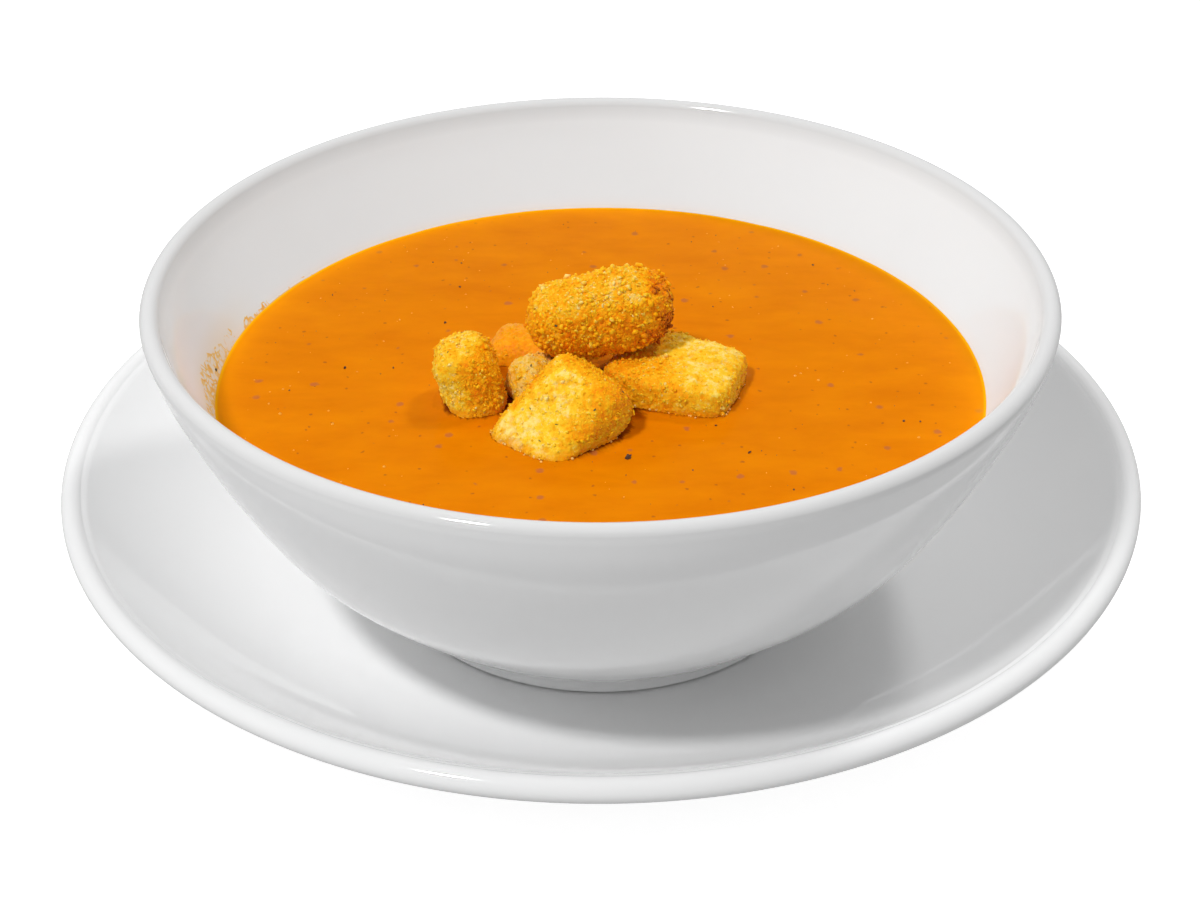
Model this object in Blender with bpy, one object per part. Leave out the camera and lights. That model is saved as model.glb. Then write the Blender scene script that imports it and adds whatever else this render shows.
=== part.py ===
"""Tomato soup with croutons, in its white china bowl on a matching coupe plate.

Blender 4.5, metres, +Z up. The origin is on the table, under the middle of the plate.
The bowl stands a little in front of the plate's middle, as it was put down.
"""

import math

import bmesh
import bpy
from mathutils import Matrix, Vector, noise

# ---------------------------------------------------------------- driving dimensions
BOWL_RADIUS = 0.080                     # outside, over the lip
BOWL_HEIGHT = 0.0623                    # foot to lip
PLATE_RADIUS = 0.1045
PLATE_FLOOR = 0.0078                    # the plate's dished floor above the table
RIM_RISE = 0.0158                       # top of the plate's bead above that floor
BOWL_OFFSET = -0.0222                   # the bowl stands this far forward on the plate
SOUP_DEPTH_BELOW_LIP = 0.0211
GAP = 0.0003                            # between solids that touch
SEGMENTS = 52                           # faces round every turned piece

BOWL_FOOT = PLATE_FLOOR + GAP
SOUP_LEVEL = BOWL_FOOT + BOWL_HEIGHT - SOUP_DEPTH_BELOW_LIP

# ---------------------------------------------------------------- bowl: wall, lip and foot
LIP_THICKNESS = 0.0033
WALL_THICKNESS = 0.0032
FLOOR_THICKNESS = 0.0031
FOOT_RADIUS = 0.0403                    # outside of the foot ring
FOOT_HEIGHT = 0.0036
FOOT_WIDTH = 0.0042
FOOT_FLARE = 0.0007                     # the ring is this much wider where it meets the wall
FOOT_RECESS = 0.0020                    # depth of the hollow inside the foot ring
EASE = 0.0006                           # rounding of the foot rings' edges
# the flare of the bowl's outside: (share of the radius, share of the height)
FLARE = ((0.521, 0.058), (0.654, 0.204), (0.786, 0.384), (0.890, 0.615), (0.969, 0.842), (0.999, 0.966))
FLARE_STEPS = 8
WELL_RADIUS = 0.016                     # the inside is almost level out to here
WELL_RISE = 0.0003
WELL_STEPS = 4

# ---------------------------------------------------------------- plate
PLATE_THICKNESS = 0.0042
PLATE_FLAT_RADIUS = 0.068               # the floor is level this far out, then it curves up
CURVE_STEPS = 5
UNDERSIDE_SPREAD = 0.0012               # the underside's curve lies this much further out
BEAD_WIDTH = 0.0043
BEAD_LIFT = 0.0009                      # the bead stands this much over the inner crease
PLATE_FOOT_RADIUS = 0.062
PLATE_FOOT_WIDTH = 0.0045
PLATE_FOOT_HEIGHT = 0.0028

# ---------------------------------------------------------------- colours (linear) and finish
CHINA = (0.80, 0.80, 0.80)
SOUP_ORANGE = (0.80, 0.22, 0.008)
TOAST_GOLD = (0.80, 0.42, 0.06)


def principled(name, colour, roughness):
    """A plain Principled BSDF of that colour."""
    material = bpy.data.materials.new(name)
    material.use_nodes = True
    shader = material.node_tree.nodes["Principled BSDF"]
    shader.inputs["Base Color"].default_value = (*colour, 1.0)
    shader.inputs["Roughness"].default_value = roughness
    shader.inputs["Metallic"].default_value = 0.0
    return material


def add_object(name, mesh, material, smooth=True):
    """Links a mesh as an object, shaded smooth except at its real edges."""
    if smooth:
        mesh.shade_smooth()
        mesh.set_sharp_from_angle(angle=math.radians(40))
    mesh.materials.append(material)
    piece = bpy.data.objects.new(name, mesh)
    bpy.context.scene.collection.objects.link(piece)
    return piece


def smooth_line(points, steps):
    """Points along a Catmull-Rom curve through the given (radius, height) points."""
    ends = [2 * points[0] - points[1], 2 * points[-1] - points[-2]]
    knots = [ends[0], *points, ends[1]]
    spans = len(points) - 1
    line = []
    for step in range(steps + 1):
        place = step / steps * spans
        span = min(int(place), spans - 1)
        t = place - span
        before, start, end, after = knots[span:span + 4]
        line.append(0.5 * (2 * start + (end - before) * t
                           + (2 * before - 5 * start + 4 * end - after) * t ** 2
                           + (3 * start - before - 3 * end + after) * t ** 3))
    return line


def arc(centre, radius, start, stop, steps):
    """Points on an arc, angles in degrees from +radius towards +height."""
    angles = [math.radians(start + (stop - start) * step / steps) for step in range(steps + 1)]
    return [centre + radius * Vector((math.cos(a), math.sin(a))) for a in angles]


def offset_line(line, distance):
    """The line moved sideways, to its left, by that distance."""
    moved = []
    for index, point in enumerate(line):
        ahead = line[min(index + 1, len(line) - 1)]
        behind = line[max(index - 1, 0)]
        along = (ahead - behind).normalized()
        moved.append(point + distance * Vector((-along.y, along.x)))
    return moved


def turn(outline, centre):
    """A closed solid of revolution: the outline runs from the axis below to the axis above."""
    mesh = bmesh.new()
    bottom = mesh.verts.new(centre + Vector((0, 0, outline[0].y)))
    top = mesh.verts.new(centre + Vector((0, 0, outline[-1].y)))
    rings = []
    for radius, height in outline[1:-1]:
        angles = [2 * math.pi * k / SEGMENTS for k in range(SEGMENTS)]
        rings.append([mesh.verts.new(centre + Vector((radius * math.cos(a), radius * math.sin(a), height)))
                      for a in angles])
    for k in range(SEGMENTS):
        after = (k + 1) % SEGMENTS
        mesh.faces.new((bottom, rings[0][after], rings[0][k]))
        mesh.faces.new((top, rings[-1][k], rings[-1][after]))
        for lower, upper in zip(rings, rings[1:]):
            mesh.faces.new((lower[k], lower[after], upper[after], upper[k]))
    return mesh


def as_mesh(name, shape):
    """Turns a bmesh into a mesh and frees it."""
    mesh = bpy.data.meshes.new(name)
    shape.to_mesh(mesh)
    shape.free()
    return mesh


# ---------------------------------------------------------------- bowl
def bowl_flare():
    """The outside of the bowl's wall, from the foot ring up to the lip."""
    stations = [Vector((BOWL_RADIUS * share, BOWL_HEIGHT * height)) for share, height in FLARE]
    return smooth_line(stations, FLARE_STEPS)


def bowl_inside():
    """The inside from the middle of the floor outwards and up the wall, short of the lip."""
    wall = offset_line(bowl_flare(), WALL_THICKNESS)[1:-1]
    floor_height = FOOT_RECESS + FLOOR_THICKNESS
    middle = Vector((0, floor_height))
    well = Vector((WELL_RADIUS, floor_height + WELL_RISE))
    return smooth_line([middle, well, wall[0]], WELL_STEPS)[:-1] + wall


def foot_ring(outside, inside, recess, spread, height):
    """The underside of a piece of china from the axis outwards, and up the outside of its foot ring."""
    return [Vector((0, recess)), Vector((inside - 2 * EASE, recess)),
            Vector((inside, EASE)), Vector((inside + EASE, 0)),
            Vector((outside - EASE, 0)), Vector((outside, EASE)),
            Vector((outside + spread, height))]


def make_bowl(china):
    foot = foot_ring(FOOT_RADIUS, FOOT_RADIUS - FOOT_WIDTH, FOOT_RECESS, FOOT_FLARE, FOOT_HEIGHT - EASE)
    half_lip = LIP_THICKNESS / 2
    lip = arc(Vector((BOWL_RADIUS - half_lip, BOWL_HEIGHT - half_lip)), half_lip, 20, 170, 5)
    outline = foot + bowl_flare() + lip + bowl_inside()[::-1]
    centre = Vector((0, BOWL_OFFSET, BOWL_FOOT))
    return add_object("bowl", as_mesh("bowl", turn(outline, centre)), china)


# ---------------------------------------------------------------- plate
def plate_dish():
    """The plate's upper face from the level floor's edge up to the crease inside the bead."""
    run = PLATE_RADIUS - BEAD_WIDTH - PLATE_FLAT_RADIUS
    rise = RIM_RISE - BEAD_LIFT
    shares = [step / CURVE_STEPS for step in range(CURVE_STEPS + 1)]
    return [Vector((PLATE_FLAT_RADIUS + run * share, PLATE_FLOOR + rise * share ** 2)) for share in shares]


def make_plate(china):
    upper = plate_dish()
    lower = [point + Vector((UNDERSIDE_SPREAD, -PLATE_THICKNESS)) for point in upper[1:-1]]
    foot = foot_ring(PLATE_FOOT_RADIUS, PLATE_FOOT_RADIUS - PLATE_FOOT_WIDTH,
                     PLATE_FLOOR - PLATE_THICKNESS, EASE, PLATE_FOOT_HEIGHT)
    half_bead = BEAD_WIDTH / 2
    bead_centre = Vector((PLATE_RADIUS - half_bead, PLATE_FLOOR + RIM_RISE - half_bead))
    bead = arc(bead_centre, half_bead, -60, 140, 6)
    outline = foot + lower + bead + upper[::-1] + [Vector((0, PLATE_FLOOR))]
    return add_object("plate", as_mesh("plate", turn(outline, Vector())), china)


# ---------------------------------------------------------------- croutons
class Crouton:
    """Where one torn cube of toast lies, in metres from the middle of the soup's surface."""

    def __init__(self, middle, size, spin, tilt, yaw, corner, taper, seed):
        self.middle = Vector(middle)
        self.size = Vector(size)
        self.spin, self.tilt, self.yaw = (math.radians(angle) for angle in (spin, tilt, yaw))
        self.corner = corner            # radius of its worn corners
        self.taper = taper              # how much its upper face is narrower than its lower one
        self.seed = seed

    def placement(self):
        """Spun on its own face, tipped towards the front, then swung round the upright."""
        turned = Matrix.Rotation(self.yaw, 4, "Z") @ Matrix.Rotation(self.tilt, 4, "X")
        turned = turned @ Matrix.Rotation(self.spin, 4, "Z")
        place = self.middle + Vector((0, BOWL_OFFSET, SOUP_LEVEL))
        return Matrix.Translation(place) @ turned


CROUTONS = {
    "crouton_top": Crouton((0.0001, -0.0018, 0.0139), (0.0267, 0.0138, 0.0137),
                           spin=20, tilt=9, yaw=-4, corner=0.0060, taper=0.0, seed=3),
    "crouton_left": Crouton((-0.0230, -0.0086, 0.0038), (0.0114, 0.0140, 0.0178),
                            spin=95, tilt=13, yaw=-85, corner=0.0054, taper=0.0, seed=11),
    "crouton_front": Crouton((-0.0070, -0.0205, 0.0020), (0.0170, 0.0225, 0.0106),
                             spin=-20, tilt=43, yaw=-32, corner=0.0034, taper=0.06, seed=7),
    "crouton_right": Crouton((0.0132, -0.0045, 0.0016), (0.0236, 0.0196, 0.0101),
                             spin=-85, tilt=3, yaw=66, corner=0.0032, taper=0.0, seed=19),
    "crouton_middle": Crouton((-0.0117, -0.0065, 0.0012), (0.0104, 0.0098, 0.0130),
                              spin=0, tilt=12, yaw=25, corner=0.0044, taper=0.1, seed=23),
    "crouton_back": Crouton((-0.0135, 0.0076, -0.0005), (0.0150, 0.0130, 0.0110),
                            spin=0, tilt=4, yaw=-15, corner=0.0042, taper=0.1, seed=31),
}
ON_TOP = "crouton_top"                  # lies on the others, clear of the soup
ROOM = 0.00045                          # the soup stays this far off a crouton, corners included
GRID = 5                                # squares along each side of a crouton's face
WAVE_HEIGHT = 0.0009
WAVE_LENGTH = 0.0075


def rounded(place, half, corner):
    """A point of the unit cube's skin, carried onto the skin of the rounded block."""
    raw = Vector(math.sin(value * math.pi / 4) * math.sqrt(2) * side for value, side in zip(place, half))
    core = Vector(max(corner - side, min(side - corner, value)) for value, side in zip(raw, half))
    return core + corner * (raw - core).normalized()


def crouton_block(crouton):
    """The rounded block before it is worn and placed, on a regular grid of squares."""
    half = crouton.size / 2
    mesh = bmesh.new()
    corners = {}

    def vertex(steps):
        if steps not in corners:
            unit = [2 * step / GRID - 1 for step in steps]
            point = rounded(unit, half, crouton.corner)
            narrowed = 1 - crouton.taper * point.z / half.z
            corners[steps] = mesh.verts.new((point.x * narrowed, point.y * narrowed, point.z))
        return corners[steps]

    for axis in range(3):
        for side in (0, GRID):
            for a in range(GRID):
                for b in range(GRID):
                    square = [vertex(on_face(axis, side, a + da, b + db))
                              for da, db in ((0, 0), (1, 0), (1, 1), (0, 1))]
                    mesh.faces.new(square if side else reversed(square))
    return mesh


def on_face(axis, side, a, b):
    """Grid steps of the point (a, b) on one face of the block."""
    steps = [0, 0, 0]
    steps[axis] = side
    steps[(axis + 1) % 3] = a
    steps[(axis + 2) % 3] = b
    return tuple(steps)


def crouton_shape(crouton, grow):
    """The worn, wavy block in its place; grow swells it evenly, for cutting its room in the soup."""
    mesh = crouton_block(crouton)
    mesh.normal_update()
    shift = crouton.seed * Vector((1.7, 0.9, 2.3))
    for vert, normal in [(vert, vert.normal.copy()) for vert in mesh.verts]:
        wave = noise.noise(vert.co / WAVE_LENGTH + shift)
        vert.co += normal * (WAVE_HEIGHT * wave + grow)
    mesh.transform(crouton.placement())
    return mesh


def make_crouton(name, toast):
    return add_object(name, as_mesh(name, crouton_shape(CROUTONS[name], grow=0)), toast)


# ---------------------------------------------------------------- soup
def make_soup(orange):
    """Fills the bowl to its level, a hair's breadth off the china."""
    bed = offset_line(bowl_inside(), GAP)
    bed[0] = Vector((0, bed[0].y))
    level = SOUP_LEVEL - BOWL_FOOT
    below = [point for point in bed if point.y < level - GAP]
    above = bed[len(below)]
    edge = below[-1].lerp(above, (level - below[-1].y) / (above.y - below[-1].y))
    outline = below + [edge, Vector((0, level))]
    centre = Vector((0, BOWL_OFFSET, BOWL_FOOT))
    return add_object("soup", as_mesh("soup", turn(outline, centre)), orange, smooth=False)


def cut_round(soup, names, toast):
    """Leaves room in the soup for the croutons that dip into it."""
    rooms = bpy.data.collections.new("rooms")
    bpy.context.scene.collection.children.link(rooms)
    for name in names:
        label = "room_for_" + name
        room = add_object(label, as_mesh(label, crouton_shape(CROUTONS[name], grow=ROOM)), toast)
        room.hide_render = True
        room.display_type = "WIRE"
        rooms.objects.link(room)
    cut = soup.modifiers.new("rooms", "BOOLEAN")
    cut.operation = "DIFFERENCE"
    cut.solver = "EXACT"
    cut.operand_type = "COLLECTION"
    cut.collection = rooms


def main():
    for leftover in list(bpy.data.objects):
        bpy.data.objects.remove(leftover, do_unlink=True)
    china = principled("white_china", CHINA, 0.12)
    orange = principled("tomato_soup", SOUP_ORANGE, 0.2)
    toast = principled("toasted_bread", TOAST_GOLD, 0.75)
    make_plate(china)
    make_bowl(china)
    soup = make_soup(orange)
    for name in CROUTONS:
        make_crouton(name, toast)
    cut_round(soup, [name for name in CROUTONS if name != ON_TOP], toast)


main()
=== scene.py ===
"""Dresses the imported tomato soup: glazed china, glossy soup, toasted croutons, studio light and camera.

Every length is in metres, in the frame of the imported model. Nothing is read from disk but that model.
"""

import math

import bpy
import numpy as np
from mathutils import Matrix, Vector
from mathutils.bvhtree import BVHTree


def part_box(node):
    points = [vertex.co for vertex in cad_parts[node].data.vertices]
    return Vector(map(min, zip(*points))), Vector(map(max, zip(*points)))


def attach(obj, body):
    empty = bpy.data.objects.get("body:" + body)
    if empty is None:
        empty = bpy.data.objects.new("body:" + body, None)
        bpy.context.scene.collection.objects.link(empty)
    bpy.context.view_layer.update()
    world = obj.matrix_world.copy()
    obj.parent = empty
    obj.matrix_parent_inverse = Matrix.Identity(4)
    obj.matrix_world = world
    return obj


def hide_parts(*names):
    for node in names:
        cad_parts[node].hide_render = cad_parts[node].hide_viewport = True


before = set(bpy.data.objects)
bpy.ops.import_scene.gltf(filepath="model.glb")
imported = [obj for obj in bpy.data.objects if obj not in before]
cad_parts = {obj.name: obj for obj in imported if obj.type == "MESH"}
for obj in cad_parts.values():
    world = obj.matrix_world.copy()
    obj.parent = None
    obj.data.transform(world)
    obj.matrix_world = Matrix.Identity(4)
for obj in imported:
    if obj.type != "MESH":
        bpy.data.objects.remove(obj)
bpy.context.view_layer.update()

# ---------------------------------------------------------------- the china's shape, as in the CAD
BOWL_RADIUS = 0.080
BOWL_HEIGHT = 0.0623
LIP_THICKNESS = 0.0033
WALL_THICKNESS = 0.0032
FLOOR_THICKNESS = 0.0031
FOOT_RADIUS = 0.0403
FOOT_HEIGHT = 0.0036
FOOT_WIDTH = 0.0042
FOOT_FLARE = 0.0007
FOOT_RECESS = 0.0020
EASE = 0.0006
FLARE = ((0.521, 0.058), (0.654, 0.204), (0.786, 0.384), (0.890, 0.615), (0.969, 0.842), (0.999, 0.966))
WELL_RADIUS = 0.016
WELL_RISE = 0.0003
PLATE_RADIUS = 0.1045
PLATE_FLOOR = 0.0078
RIM_RISE = 0.0158
PLATE_THICKNESS = 0.0042
PLATE_FLAT_RADIUS = 0.068
UNDERSIDE_SPREAD = 0.0012
BEAD_WIDTH = 0.0043
BEAD_LIFT = 0.0009
PLATE_FOOT_RADIUS = 0.062
PLATE_FOOT_WIDTH = 0.0045
PLATE_FOOT_HEIGHT = 0.0028

BOWL_LOW, BOWL_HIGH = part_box("bowl")
BOWL_AXIS = ((BOWL_LOW.x + BOWL_HIGH.x) / 2, (BOWL_LOW.y + BOWL_HIGH.y) / 2)
BOWL_FOOT = BOWL_LOW.z
SOUP_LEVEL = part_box("soup")[1].z


# ---------------------------------------------------------------- number helpers
def smooth_step(value, low, high):
    share = np.clip((value - low) / (high - low), 0, 1)
    return share * share * (3 - 2 * share)


def hashed(cells, seed):
    """One pseudo-random number from 0 to 1 for each whole-numbered cell."""
    cells = cells.astype(np.int64)
    # large odd multipliers and shifts stir the whole numbers until nothing of their order is left
    mixed = cells[..., 0] * 374761393 + cells[..., 1] * 668265263 + cells[..., 2] * 2147483647
    mixed = mixed + seed * 974711
    mixed = (mixed ^ (mixed >> 13)) * 1274126177
    mixed = (mixed ^ (mixed >> 16)) & 0x7FFFFFFF
    return mixed / 0x7FFFFFFF


def soft_noise(points, size, seed):
    """Smooth noise from -1 to 1 whose lumps are about that size."""
    place = points / size
    cell = np.floor(place)
    part = place - cell
    part = part * part * (3 - 2 * part)
    total = np.zeros(len(points))
    for dx in (0, 1):
        for dy in (0, 1):
            for dz in (0, 1):
                share = np.ones(len(points))
                for axis, step in enumerate((dx, dy, dz)):
                    share = share * (part[:, axis] if step else 1 - part[:, axis])
                total += share * hashed(cell + np.array((dx, dy, dz)), seed)
    return 2 * total - 1


def rough_noise(points, size, seed, octaves=4):
    """Smooth noise with finer and finer lumps on it."""
    total = np.zeros(len(points))
    weight = 1.0
    for octave in range(octaves):
        total += weight * soft_noise(points, size / 2 ** octave, seed + 31 * octave)
        weight /= 2
    return total / 1.6


def cells(points, size, seed):
    """Distances to the nearest and the second nearest of scattered seeds, and a number for the nearest."""
    place = points / size
    home = np.floor(place)
    nearest = np.full(len(points), 9.0)
    second = np.full(len(points), 9.0)
    name = np.zeros(len(points))
    for dx in (-1, 0, 1):
        for dy in (-1, 0, 1):
            for dz in (-1, 0, 1):
                cell = home + np.array((dx, dy, dz))
                spot = cell + np.stack([hashed(cell, seed + k) for k in (1, 2, 3)], 1)
                distance = np.linalg.norm(place - spot, axis=1)
                closer = distance < nearest
                second = np.where(closer, nearest, np.minimum(second, distance))
                name = np.where(closer, hashed(cell, seed + 4), name)
                nearest = np.where(closer, distance, nearest)
    return nearest, second, name


# ---------------------------------------------------------------- materials
class Nodes:
    """A node tree being put together."""

    def __init__(self, tree):
        self.tree = tree

    def node(self, kind, settings=None, **sockets):
        """Adds a node. A socket is given a number, a colour or another node's output."""
        made = self.tree.nodes.new(kind)
        for key, value in (settings or {}).items():
            setattr(made, key, value)
        for key, value in sockets.items():
            self.feed(made.inputs[key.replace("_", " ")], value)
        return made

    def feed(self, socket, value):
        if isinstance(value, bpy.types.NodeSocket):
            self.tree.links.new(value, socket)
        else:
            socket.default_value = value

    def maths(self, operation, first, second=0.0, third=0.0):
        made = self.node("ShaderNodeMath", {"operation": operation})
        for socket, value in zip(made.inputs, (first, second, third)):
            self.feed(socket, value)
        return made.outputs[0]

    def span(self, value, low, high, new_low=0.0, new_high=1.0):
        """Carries low..high onto new_low..new_high, smoothly and within those ends."""
        made = self.node("ShaderNodeMapRange", {"interpolation_type": "SMOOTHSTEP"}, Value=value,
                         From_Min=low, From_Max=high, To_Min=new_low, To_Max=new_high)
        return made.outputs[0]


class Look(Nodes):
    """A procedural material being put together round one Principled shader."""

    def __init__(self, name, **sockets):
        self.material = bpy.data.materials.new(name)
        self.material.use_nodes = True
        super().__init__(self.material.node_tree)
        self.shader = self.tree.nodes["Principled BSDF"]
        for key, value in sockets.items():
            self.shader.inputs[key.replace("_", " ")].default_value = value
        self.place = self.node("ShaderNodeTexCoord").outputs["Object"]

    def set(self, name, value):
        self.feed(self.shader.inputs[name], value)

    def noise(self, size, detail=3.0, roughness=0.5):
        """Noise from 0 to 1 whose lumps are about that many metres."""
        made = self.node("ShaderNodeTexNoise", Vector=self.place, Scale=1 / size, Detail=detail,
                         Roughness=roughness)
        return made.outputs["Fac"]

    def attribute(self, name):
        return self.node("ShaderNodeAttribute", {"attribute_name": name}).outputs["Fac"]

    def ramp(self, value, *stops):
        """A colour ramp: each stop is (place, colour)."""
        made = self.node("ShaderNodeValToRGB", Fac=value)
        elements = made.color_ramp.elements
        while len(elements) < len(stops):
            elements.new(0.5)
        for element, (position, colour) in zip(elements, stops):
            element.position = position
            element.color = (*colour, 1)
        return made.outputs["Color"]

    def mix(self, share, first, second, blend="MIX"):
        made = self.node("ShaderNodeMix", {"data_type": "RGBA", "blend_type": blend})
        self.feed(made.inputs[0], share)
        self.feed(made.inputs[6], (*first, 1) if isinstance(first, tuple) else first)
        self.feed(made.inputs[7], (*second, 1) if isinstance(second, tuple) else second)
        return made.outputs[2]

    def bump(self, height, distance, below=None):
        made = self.node("ShaderNodeBump", Height=height, Distance=distance, Strength=1.0)
        if below is not None:
            self.feed(made.inputs["Normal"], below)
        return made.outputs["Normal"]


# ---------------------------------------------------------------- mesh helpers
def piece(name, verts, faces, look, slot, smooth=True, replaces=(), **attributes):
    """Makes a mesh piece of the soup, riding on the part's one body."""
    mesh = bpy.data.meshes.new(name)
    mesh.from_pydata(verts.tolist(), [], faces.tolist() if isinstance(faces, np.ndarray) else faces)
    if smooth:
        mesh.shade_smooth()
    else:
        mesh.shade_flat()
    for key, values in attributes.items():
        layer = mesh.attributes.new(key, "FLOAT", "POINT")
        layer.data.foreach_set("value", np.asarray(values, np.float32))
    mesh.materials.append(look.material)
    made = bpy.data.objects.new(name, mesh)
    bpy.context.scene.collection.objects.link(made)
    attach(made, "root")
    if replaces:
        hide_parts(*replaces)
    return made


def smooth_line(points, steps):
    """Points along a Catmull-Rom curve through the given (radius, height) points."""
    knots = np.array([2 * points[0] - points[1], *points, 2 * points[-1] - points[-2]])
    spans = len(points) - 1
    place = np.arange(steps + 1) / steps * spans
    span = np.minimum(place.astype(int), spans - 1)
    t = (place - span)[:, None]
    before, start, end, after = (knots[span + k] for k in range(4))
    return 0.5 * (2 * start + (end - before) * t + (2 * before - 5 * start + 4 * end - after) * t ** 2
                  + (3 * start - before - 3 * end + after) * t ** 3)


def arc(centre, radius, start, stop, steps):
    """Points on an arc, angles in degrees from +radius towards +height."""
    angles = np.radians(np.linspace(start, stop, steps + 1))
    return np.array(centre) + radius * np.stack([np.cos(angles), np.sin(angles)], 1)


def offset_line(line, distance):
    """The line moved sideways, to its left, by that distance."""
    along = np.gradient(line, axis=0)
    along /= np.linalg.norm(along, axis=1)[:, None]
    return line + distance * np.stack([-along[:, 1], along[:, 0]], 1)


def circle(segments):
    return 2 * math.pi * np.arange(segments) / segments


def rings(radii, heights, axis, angles):
    """Points at those angles round an axis, one level row after another."""
    x = axis[0] + radii[:, None] * np.cos(angles)
    y = axis[1] + radii[:, None] * np.sin(angles)
    return np.stack([x, y, np.repeat(heights[:, None], len(angles), 1)], 2).reshape(-1, 3)


def band(low, high, segments):
    """Quads between two circles, given the numbers of their first corners."""
    around = np.arange(segments)
    after = (around + 1) % segments
    return np.stack([low + around, low + after, high + after, high + around], 1)


def fan(middle, ring, segments):
    """Triangles from a middle corner to a circle, given the number of its first corner."""
    around = np.arange(segments)
    return np.stack([np.full(segments, middle), ring + around, ring + (around + 1) % segments], 1)


QUAD_FLIPPED, FAN_FLIPPED = [0, 3, 2, 1], [0, 2, 1]     # a face's corners the other way round


def turned(outline, axis, foot, segments):
    """Corners and faces of a closed solid of revolution whose outline starts and ends on its axis."""
    circles = rings(outline[1:-1, 0], foot + outline[1:-1, 1], axis, circle(segments))
    verts = np.concatenate([circles, [(*axis, foot + outline[0][1]), (*axis, foot + outline[-1][1])]])
    bottom, top, last = len(circles), len(circles) + 1, len(circles) - segments
    faces = []
    for low in range(0, last, segments):
        faces += band(low, low + segments, segments).tolist()
    faces += fan(bottom, 0, segments)[:, FAN_FLIPPED].tolist()
    faces += fan(top, last, segments).tolist()
    return verts, faces


# ---------------------------------------------------------------- the bowl and the plate
def foot_ring(outside, inside, recess, spread, height):
    """The underside from the axis outwards, and up the outside of the foot ring, its edges rounded."""
    recess_edge = arc((inside - 3 * EASE, recess - EASE), EASE, 90, 20, 4)
    inner_edge = arc((inside + EASE, EASE), EASE, 180, 270, 4)
    outer_edge = arc((outside - EASE, EASE), EASE, 270, 360, 5)
    wall = (outside + spread, height)
    return np.concatenate([[(0, recess)], recess_edge, inner_edge, outer_edge, [wall]])


def bowl_flare():
    stations = [np.array((BOWL_RADIUS * share, BOWL_HEIGHT * height)) for share, height in FLARE]
    return smooth_line(stations, 60)


def bowl_inside():
    """The inside from the middle of the floor outwards and up the wall, short of the lip."""
    wall = offset_line(bowl_flare(), WALL_THICKNESS)[4:-5]
    floor_height = FOOT_RECESS + FLOOR_THICKNESS
    well = [np.array((0, floor_height)), np.array((WELL_RADIUS, floor_height + WELL_RISE)), wall[0]]
    return np.concatenate([smooth_line(well, 20)[:-1], wall])


def wall_radius(height):
    """Inner radius of the bowl at a height above the table."""
    inside = bowl_inside()
    return np.interp(height - BOWL_FOOT, inside[:, 1], inside[:, 0])


BOWL_SEGMENTS, PLATE_SEGMENTS = 240, 256
LIP_FADE = (0.0009, 0.0024)             # painted shade darkens the lip's brightly lit top; it fades out between these depths below the top
STAIN_RISE = (0.0015, 0.0085)           # painted bounce light: the soup's orange glow on the wall fades between these heights above it
STAIN_MIDDLE = -3                       # where it is strongest: degrees from the left-hand side to the back
STAIN_REACH = (6, 26)                   # it fades this many degrees to each side


def wall_stain(verts):
    """How strongly the soup's orange glow, painted bounce light, tints the inner left-hand wall, just over
    the waterline.
    """
    across = verts[:, :2] - BOWL_AXIS
    round_left = np.degrees(np.arctan2(across[:, 1], -across[:, 0]))
    above_soup = verts[:, 2] - SOUP_LEVEL
    inside = np.linalg.norm(across, axis=1) < wall_radius(verts[:, 2]) + 0.0003
    stain = smooth_step(above_soup, -0.002, 0.0) * (1 - smooth_step(above_soup, *STAIN_RISE))
    return np.where(inside, stain * (1 - smooth_step(np.abs(round_left - STAIN_MIDDLE), *STAIN_REACH)), 0)


def make_bowl(china):
    foot = foot_ring(FOOT_RADIUS, FOOT_RADIUS - FOOT_WIDTH, FOOT_RECESS, FOOT_FLARE, FOOT_HEIGHT - EASE)
    half_lip = LIP_THICKNESS / 2
    lip = arc((BOWL_RADIUS - half_lip, BOWL_HEIGHT - half_lip), half_lip, 12, 172, 18)
    outline = np.concatenate([foot, bowl_flare()[:-1], lip, bowl_inside()[::-1]])
    verts, faces = turned(outline, BOWL_AXIS, BOWL_FOOT, BOWL_SEGMENTS)
    from_top = BOWL_FOOT + BOWL_HEIGHT - verts[:, 2]
    # the lip attribute carries the painted shade on the lip's top
    piece("china_bowl", verts, faces, china, "china", replaces=["bowl"],
          lip=1 - smooth_step(from_top, *LIP_FADE), stain=wall_stain(verts))


def make_plate(china):
    crease = PLATE_RADIUS - BEAD_WIDTH
    share = np.linspace(0, 1, 40)[:, None]
    rise = PLATE_FLOOR + (RIM_RISE - BEAD_LIFT) * share ** 2
    upper = np.concatenate([PLATE_FLAT_RADIUS + (crease - PLATE_FLAT_RADIUS) * share, rise], 1)
    lower = upper[1:-3] + np.array((UNDERSIDE_SPREAD, -PLATE_THICKNESS))
    foot = foot_ring(PLATE_FOOT_RADIUS, PLATE_FOOT_RADIUS - PLATE_FOOT_WIDTH,
                     PLATE_FLOOR - PLATE_THICKNESS, EASE, PLATE_FOOT_HEIGHT)
    half_bead = BEAD_WIDTH / 2
    bead = arc((PLATE_RADIUS - half_bead, PLATE_FLOOR + RIM_RISE - half_bead), half_bead, -62, 145, 24)
    floor = np.stack([np.linspace(PLATE_FLAT_RADIUS, 0, 12)[1:], np.full(11, PLATE_FLOOR)], 1)
    outline = np.concatenate([foot, lower, bead, upper[::-1], floor])
    verts, faces = turned(outline, (0, 0), 0, PLATE_SEGMENTS)
    piece("china_plate", verts, faces, china, "china", replaces=["plate"])


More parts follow.
